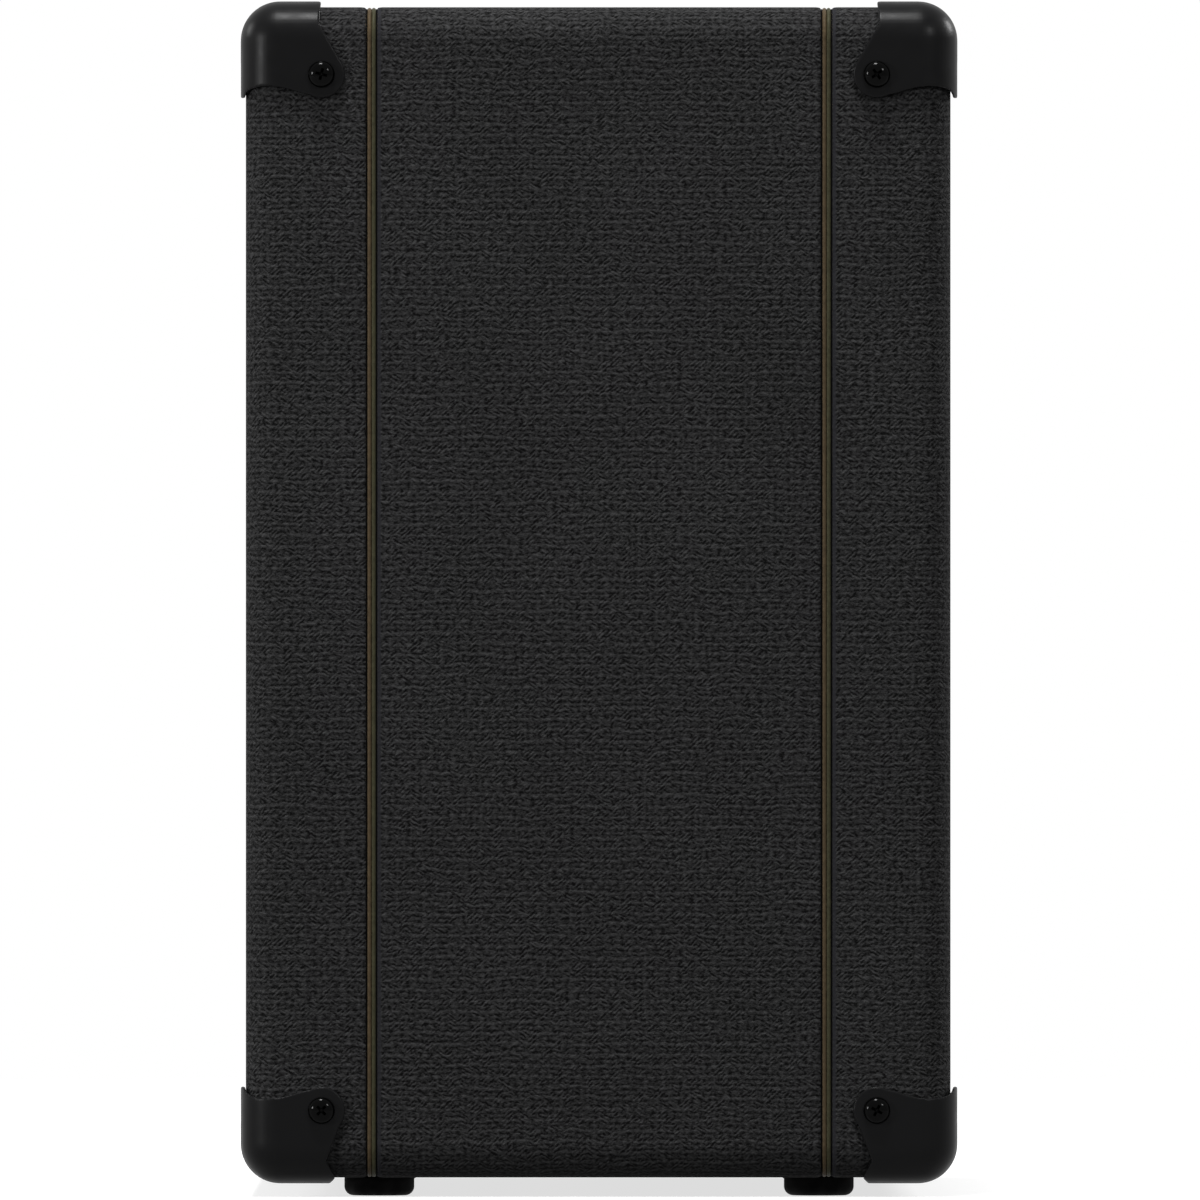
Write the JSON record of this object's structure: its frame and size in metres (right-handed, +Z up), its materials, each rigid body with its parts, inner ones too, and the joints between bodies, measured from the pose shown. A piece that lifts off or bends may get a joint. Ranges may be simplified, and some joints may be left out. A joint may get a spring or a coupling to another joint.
{
  "type": "guitar combo amplifier",
  "caption": "Black vinyl-covered guitar combo amplifier: cabinet with gold piping and moulded corners, recessed control panel, grille cloth and a loudspeaker in an open back.",
  "frame": {"origin": "middle of the floor under the amplifier, between its four feet", "axes": "+Z up, the front with the grille faces -Y, +X to the right of someone looking at the front"},
  "size_m": [0.4556, 0.235, 0.3912],
  "materials": {
    "bare_wood": "bare plywood and particle board",
    "covering": "black vinyl covering with a coarse basket-weave emboss",
    "gold_piping": "aged gold two-strand piping",
    "corner_plastic": "smooth semi-gloss black moulding",
    "black_screw": "glossy black",
    "foot_rubber": "matt black rubber",
    "grille_fabric": "black woven grille cloth",
    "panel_metal": "satin black sheet",
    "zinc_steel": "zinc-plated sheet",
    "circuit_board": "green solder mask",
    "knob_plastic": "moulded black",
    "socket_plastic": "moulded black",
    "lamp_lens": "clear red",
    "core_steel": "varnished laminations",
    "heatsink_aluminium": "dull extruded",
    "basket_steel": "black painted pressed steel",
    "magnet_steel": "ferrite and plated steel",
    "cone_paper": "black pulp",
    "spider_cloth": "resin-dipped cloth",
    "handle_plastic": "moulded black"
  },
  "bodies": {
    "root": {"cabinet_top": "bare_wood", "cabinet_right_side": "bare_wood", "cabinet_bottom": "bare_wood", "cabinet_left_side": "bare_wood", "baffle_board": "bare_wood", "grille_frame": "bare_wood", "vinyl_front_band": "covering", "vinyl_centre_band": "covering", "vinyl_rear_band": "covering", "front_rail": "covering", "upper_back_panel": "covering", "lower_back_panel": "covering", "piping_front": "gold_piping", "piping_rear": "gold_piping", "corner_front_right_top": "corner_plastic", "corner_front_left_top": "corner_plastic", "corner_rear_right_top": "corner_plastic", "corner_rear_left_top": "corner_plastic", "corner_front_right_bottom": "corner_plastic", "corner_front_left_bottom": "corner_plastic", "corner_rear_right_bottom": "corner_plastic", "corner_rear_left_bottom": "corner_plastic", "screw_right_front_top": "black_screw", "screw_right_front_bottom": "black_screw", "screw_right_rear_top": "black_screw", "screw_right_rear_bottom": "black_screw", "screw_left_front_top": "black_screw", "screw_left_front_bottom": "black_screw", "screw_left_rear_top": "black_screw", "screw_left_rear_bottom": "black_screw", "foot_front_right": "foot_rubber", "foot_front_left": "foot_rubber", "foot_rear_right": "foot_rubber", "foot_rear_left": "foot_rubber", "grille_cloth": "grille_fabric", "control_panel": "panel_metal", "chassis_tray": "zinc_steel", "control_board": "circuit_board", "rocker_bezel": "knob_plastic", "input_jack": "socket_plastic", "mains_inlet": "socket_plastic", "pilot_lamp": "lamp_lens", "transformer": "core_steel", "heatsink": "heatsink_aluminium", "speaker_basket": "basket_steel", "speaker_magnet": "magnet_steel", "speaker_surround": "cone_paper", "speaker_spider": "spider_cloth", "handle_dish": "handle_plastic"},
    "knob_gain": {"knob_gain": "knob_plastic"},
    "knob_volume": {"knob_volume": "knob_plastic"},
    "knob_bass": {"knob_bass": "knob_plastic"},
    "knob_middle": {"knob_middle": "knob_plastic"},
    "knob_treble": {"knob_treble": "knob_plastic"},
    "knob_reverb": {"knob_reverb": "knob_plastic"},
    "channel_button": {"channel_button": "knob_plastic"},
    "power_rocker": {"power_rocker": "knob_plastic"},
    "handle_bail": {"handle_bail": "handle_plastic"},
    "cone": {"speaker_cone": "cone_paper", "dust_cap": "cone_paper"}
  },
  "joints": [
    {"name": "gain_turn", "type": "hinge", "parent": "root", "child": "knob_gain", "pos_m": [-0.095, -0.0926, 0.34095], "axis": [0, -1, 0], "range_deg": [-150, 150]},
    {"name": "volume_turn", "type": "hinge", "parent": "root", "child": "knob_volume", "pos_m": [-0.057, -0.0926, 0.34095], "axis": [0, -1, 0], "range_deg": [-150, 150]},
    {"name": "bass_turn", "type": "hinge", "parent": "root", "child": "knob_bass", "pos_m": [-0.019, -0.0926, 0.34095], "axis": [0, -1, 0], "range_deg": [-150, 150]},
    {"name": "middle_turn", "type": "hinge", "parent": "root", "child": "knob_middle", "pos_m": [0.019, -0.0926, 0.34095], "axis": [0, -1, 0], "range_deg": [-150, 150]},
    {"name": "treble_turn", "type": "hinge", "parent": "root", "child": "knob_treble", "pos_m": [0.057, -0.0926, 0.34095], "axis": [0, -1, 0], "range_deg": [-150, 150]},
    {"name": "reverb_turn", "type": "hinge", "parent": "root", "child": "knob_reverb", "pos_m": [0.095, -0.0926, 0.34095], "axis": [0, -1, 0], "range_deg": [-150, 150]},
    {"name": "channel_press", "type": "slide", "parent": "root", "child": "channel_button", "axis": [0, 1, 0], "range_m": [0, 0.003], "stiffness_N_per_m": 600, "springref_m": -0.0005},
    {"name": "power_rock", "type": "hinge", "parent": "root", "child": "power_rocker", "pos_m": [0.175, -0.0921, 0.34095], "axis": [-1, 0, 0], "range_deg": [0, 18]},
    {"name": "handle_swing", "type": "hinge", "parent": "root", "child": "handle_bail", "pos_m": [0, 0.015, 0.3796], "axis": [-1, 0, 0], "range_deg": [0, 115]},
    {"name": "cone_stroke", "type": "slide", "parent": "root", "child": "cone", "axis": [0, -1, 0], "range_m": [-0.003, 0.003], "stiffness_N_per_m": 6400, "deforming": ["speaker_surround", "speaker_spider"]}
  ]
}
